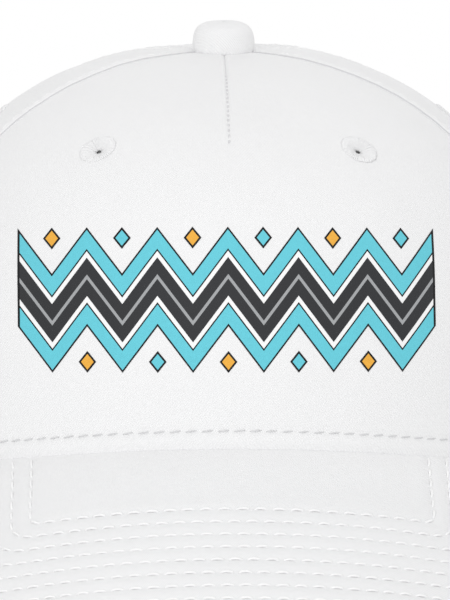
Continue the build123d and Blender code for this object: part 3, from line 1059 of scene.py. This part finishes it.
def new_material(name, colour, roughness, specular=0.5, **settings):
    """Principled material; settings name the shader's sockets with underscores for spaces."""
    material = bpy.data.materials.new(name)
    material.use_nodes = True
    shader = material.node_tree.nodes["Principled BSDF"]
    settings.update(Base_Color=(*colour, 1), Roughness=roughness, Specular_IOR_Level=specular)
    for key, value in settings.items():
        shader.inputs[key.replace("_", " ")].default_value = value
    return material, material.node_tree, shader


def node(tree, kind, **inputs):
    """Node with its inputs linked or set; keys are socket numbers after an underscore, or names."""
    made = tree.nodes.new(kind)
    for key, value in inputs.items():
        if key.startswith("set_"):
            setattr(made, key[4:], value)
            continue
        socket = made.inputs[int(key[1:])] if key[0] == "_" else made.inputs[key.replace("_", " ")]
        if isinstance(value, bpy.types.NodeSocket):
            tree.links.new(value, socket)
        else:
            socket.default_value = value
    return made


def maths(tree, operation, first, second=None):
    """Result of a maths node."""
    inputs = {"_0": first}
    if second is not None:
        inputs["_1"] = second
    return node(tree, "ShaderNodeMath", set_operation=operation, **inputs).outputs[0]


def plus(tree, one, other):
    """Sum of two values."""
    return maths(tree, "ADD", one, other)


def linear(tree, value, factor, offset):
    """A value times a factor plus an offset, either of which may be a value too."""
    return plus(tree, maths(tree, "MULTIPLY", value, factor), offset)


def scaled(tree, vector, factor):
    """Vector or colour times a factor."""
    return node(tree, "ShaderNodeVectorMath", set_operation="SCALE", _0=vector, Scale=factor).outputs[0]


def own_place(tree):
    """Metres in the piece's own frame."""
    return node(tree, "ShaderNodeTexCoord").outputs["Object"]


def noise(tree, place, scale, detail, roughness=0.5):
    """Cloudy noise of about 0 to 1."""
    made = node(tree, "ShaderNodeTexNoise", Vector=place, Scale=scale, Detail=detail, Roughness=roughness)
    return made.outputs["Fac"]


def give_relief(tree, shader, height, strength, depth):
    """Lets the shading follow a height."""
    bump = node(tree, "ShaderNodeBump", Strength=strength, Distance=depth, Height=height)
    tree.links.new(bump.outputs["Normal"], shader.inputs["Normal"])


def give_shade(tree, shader, colour, shade):
    """Colours the surface with a colour times a shade."""
    tree.links.new(scaled(tree, colour, shade), shader.inputs["Base Color"])


def weave_height(tree, vector, pitch, steep):
    """Diagonal ribs crossed by finer threads, from 0 to 1, for coordinates in millimetres."""
    across, *upwards = node(tree, "ShaderNodeSeparateXYZ", _0=vector).outputs
    total = 0.5
    for slope, waves, height in ((steep, 1, 0.5), (-steep, 2, 0.22)):
        place = linear(tree, plus(tree, *upwards), slope, across)
        wave = maths(tree, "SINE", maths(tree, "MULTIPLY", place, waves * 2 * math.pi / pitch))
        total = linear(tree, wave, height, total)
    return total


def cloth_material(name, colour, pitch=0.7, depth=0.00005, steep=0.8, laid=True, tint=0.03):
    """Woven cotton: ribs, uneven yarn, fine fuzz and slight random clouds of tone, and painted shade in the
    ribs' grooves.
    """
    material, tree, shader = new_material(name, colour, 0.88, 0.25, Sheen_Weight=0.15, Sheen_Roughness=0.5)
    place = own_place(tree)
    if laid:
        vector = node(tree, "ShaderNodeAttribute", set_attribute_name="cloth").outputs["Vector"]
    else:
        vector = scaled(tree, place, 1000.0)
    weave = weave_height(tree, vector, pitch, steep)
    yarn = noise(tree, place, 900.0, 3.0)
    clouds = noise(tree, place, 60.0, 5.0, 0.7)
    give_relief(tree, shader, linear(tree, yarn, 0.9, weave), 1.0, depth)
    # Random mottle from the yarn and clouds, and painted shade: the colour is lighter on the weave's ribs and
    # darker in their grooves.
    mottle_and_weave_shade = plus(tree, plus(tree, clouds, yarn), weave)
    give_shade(tree, shader, colour, linear(tree, mottle_and_weave_shade, tint, 1 - 1.5 * tint))
    return material


def thread_material(name, colour, roughness=0.55):
    """Twisted sewing thread."""
    material, tree, shader = new_material(name, colour, roughness, Sheen_Weight=0.1)
    place = own_place(tree)
    twist = {"Scale": 1100.0, "Distortion": 1.5, "set_bands_direction": "DIAGONAL"}
    wave = node(tree, "ShaderNodeTexWave", Vector=place, **twist).outputs["Fac"]
    fine = noise(tree, place, 1500.0, 2.0)
    give_relief(tree, shader, plus(tree, wave, fine), 0.6, 0.00003)
    give_shade(tree, shader, colour, linear(tree, fine, 0.06, 0.97))
    return material


def ink_material(name, colour):
    """Printed film over the weave, with a slight shine."""
    material, tree, shader = new_material(name, colour, 0.6, 0.2)
    place = own_place(tree)
    yarn = noise(tree, place, 900.0, 2.0)
    weave = weave_height(tree, scaled(tree, place, 1000.0), 0.55, 0.8)
    give_relief(tree, shader, plus(tree, weave, yarn), 0.5, 0.00002)
    give_shade(tree, shader, colour, linear(tree, yarn, 0.1, 0.95))
    return material


def metal_material(name, colour):
    """Satin plated steel with a fine brushed grain."""
    material, tree, shader = new_material(name, colour, 0.3, Metallic=1.0)
    stretch = (300.0, 300.0, 6000.0)
    stretched = node(tree, "ShaderNodeVectorMath", set_operation="MULTIPLY", _0=own_place(tree), _1=stretch)
    grain = noise(tree, stretched.outputs[0], 1.0, 3.0)
    give_relief(tree, shader, grain, 0.3, 0.00002)
    tree.links.new(linear(tree, grain, 0.16, 0.22), shader.inputs["Roughness"])
    return material


crown_twill = cloth_material("crown_twill", (0.87, 0.87, 0.875))
visor_twill = cloth_material("visor_twill", (0.87, 0.87, 0.875), pitch=0.6)
sweatband_cotton = cloth_material("sweatband_cotton", (0.84, 0.84, 0.83))
tape_cotton = cloth_material("seam_tape", (0.83, 0.83, 0.83), pitch=0.6, laid=False)
tab_twill = cloth_material("tab_twill", (0.86, 0.86, 0.865), laid=False)
buckram = cloth_material("stiffener", (0.78, 0.78, 0.77), 1.1, 0.00012, steep=0.0, laid=False, tint=0.08)
white_thread = thread_material("white_thread", (0.93, 0.93, 0.93))
row_thread = thread_material("visor_row_thread", (0.92, 0.92, 0.92))
# Grey of the topstitch over the visor: painted shade on white thread.
topstitch_painted_shade = thread_material("topstitch_thread_painted_shade", (0.66, 0.66, 0.67))
# Grey of the cords in the seams and of the needle marks: painted shadow.
seam_shadow = thread_material("sunk_seam_painted_shade", (0.7, 0.7, 0.71), 0.9)
satin_thread = thread_material("satin_thread", (0.85, 0.85, 0.855), 0.5)
clasp_metal = metal_material("clasp_metal", (0.62, 0.62, 0.61))
ink_colours = {
    "black": (0.008, 0.008, 0.009),
    "turquoise": (0.138, 0.584, 0.686),
    "charcoal": (0.032, 0.033, 0.036),
    "white": (0.9, 0.9, 0.9),
    "grey": (0.36, 0.37, 0.38),
    "amber": (0.83, 0.42, 0.06),
}
inks = {name: ink_material(f"ink_{name}", colour) for name, colour in ink_colours.items()}


def dress_nodes():
    """Materials of the solids that stay."""
    finishes = dict.fromkeys(("rivet", "clasp_base", "clasp_pin", "clasp_lever"), clasp_metal)
    finishes.update(stiffener=buckram, seam_tape=tape_cotton, arch_binding=tape_cotton, clasp_tab=tab_twill)
    for name, part in frame["nodes"].items():
        for words, material in finishes.items():
            if words in name:
                part.data.materials.clear()
                part.data.materials.append(material)


# Camera, floor and light


def make_camera():
    """Camera at the photograph's place: in front, a little above, far away and zoomed in."""
    elevation, turn, roll = math.radians(11.87), math.radians(-1.32), math.radians(0.17)
    distance = 1200.0
    target = (0.55, 0, 49.29)
    view = Matrix.Translation(to_row(target))
    for angle, axis in ((-lean, "X"), (turn, "Z"), (math.pi / 2 - elevation, "X"), (roll, "Z")):
        view = view @ Matrix.Rotation(angle, 4, axis)
    data = bpy.data.cameras.new("camera")
    data.sensor_fit = "VERTICAL"
    data.sensor_height = 36
    data.lens = 281.9
    data.clip_end = 20
    camera = bpy.data.objects.new("camera", data)
    camera.matrix_world = view @ Matrix.Translation((0, 0, distance * metres))
    bpy.context.scene.collection.objects.link(camera)
    bpy.context.scene.camera = camera


def seen(tree):
    """1 for rays that show a surface, straight, mirrored or through glass, and 0 for the others."""
    path = node(tree, "ShaderNodeLightPath").outputs
    unbroken = maths(tree, "MAXIMUM", path["Is Camera Ray"], path["Is Glossy Ray"])
    return maths(tree, "MAXIMUM", unbroken, path["Is Transmission Ray"])


def make_floor():
    """Pale floor that keeps the cap's shadow near it and turns plain white further away."""
    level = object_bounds()[0][2]
    reach = 3.0
    corners = [(x * reach, y * reach, level) for x, y in ((-1, -1), (1, -1), (1, 1), (-1, 1))]
    mesh = bpy.data.meshes.new("floor")
    mesh.from_pydata(corners, [], [(0, 1, 2, 3)])
    floor = bpy.data.objects.new("floor", mesh)
    bpy.context.scene.collection.objects.link(floor)
    material, tree, shader = new_material("floor", (0.86, 0.86, 0.86), 0.9)
    away = node(tree, "ShaderNodeVectorMath", set_operation="LENGTH", _0=own_place(tree)).outputs["Value"]
    step = {"set_interpolation_type": "SMOOTHSTEP", "From_Min": 0.16, "From_Max": 0.36}
    far = node(tree, "ShaderNodeMapRange", Value=away, **step).outputs["Result"]
    glow = node(tree, "ShaderNodeEmission", Color=(1, 1, 1, 1), Strength=1.0).outputs[0]
    part = maths(tree, "MULTIPLY", seen(tree), far)
    mixed = node(tree, "ShaderNodeMixShader", _0=part, _1=shader.outputs[0], _2=glow)
    tree.links.new(mixed.outputs[0], tree.nodes["Material Output"].inputs["Surface"])
    mesh.materials.append(material)


def make_world():
    """Soft white surroundings that light the cap, seen as plain white."""
    world = bpy.data.worlds.new("world")
    bpy.context.scene.world = world
    world.use_nodes = True
    tree = world.node_tree
    tree.nodes.clear()
    strength = linear(tree, seen(tree), 1 - world_strength, world_strength)
    glow = node(tree, "ShaderNodeBackground", Color=(1, 1, 1, 1), Strength=strength).outputs[0]
    node(tree, "ShaderNodeOutputWorld", Surface=glow)


def make_lamp(name, place, power, size):
    """Square area lamp that points at the cap."""
    aim = Vector((0, 0, 0.05)) - Vector(place)
    data = bpy.data.lights.new(name, "AREA")
    data.energy = power
    data.size = size
    lamp = bpy.data.objects.new(name, data)
    lamp.location = place
    lamp.rotation_euler = aim.to_track_quat("-Z", "Y").to_euler()
    bpy.context.scene.collection.objects.link(lamp)


make_camera()
make_crown()
make_visor()
make_button()
make_eyelets()
make_hem_stitches()
make_seam_stitches()
make_print()
make_sweatband()
make_strap()
dress_nodes()
make_floor()
make_world()
make_lamp("front_lamp", (-0.35, -1.5, 0.55), 6.9, 1.0)
make_lamp("top_lamp", (0.5, 0.2, 1.6), 3.4, 1.2)
make_lamp("back_lamp", (0.2, 1.5, 0.7), 1.6, 1.0)

bpy.context.scene.view_settings.view_transform = "Standard"
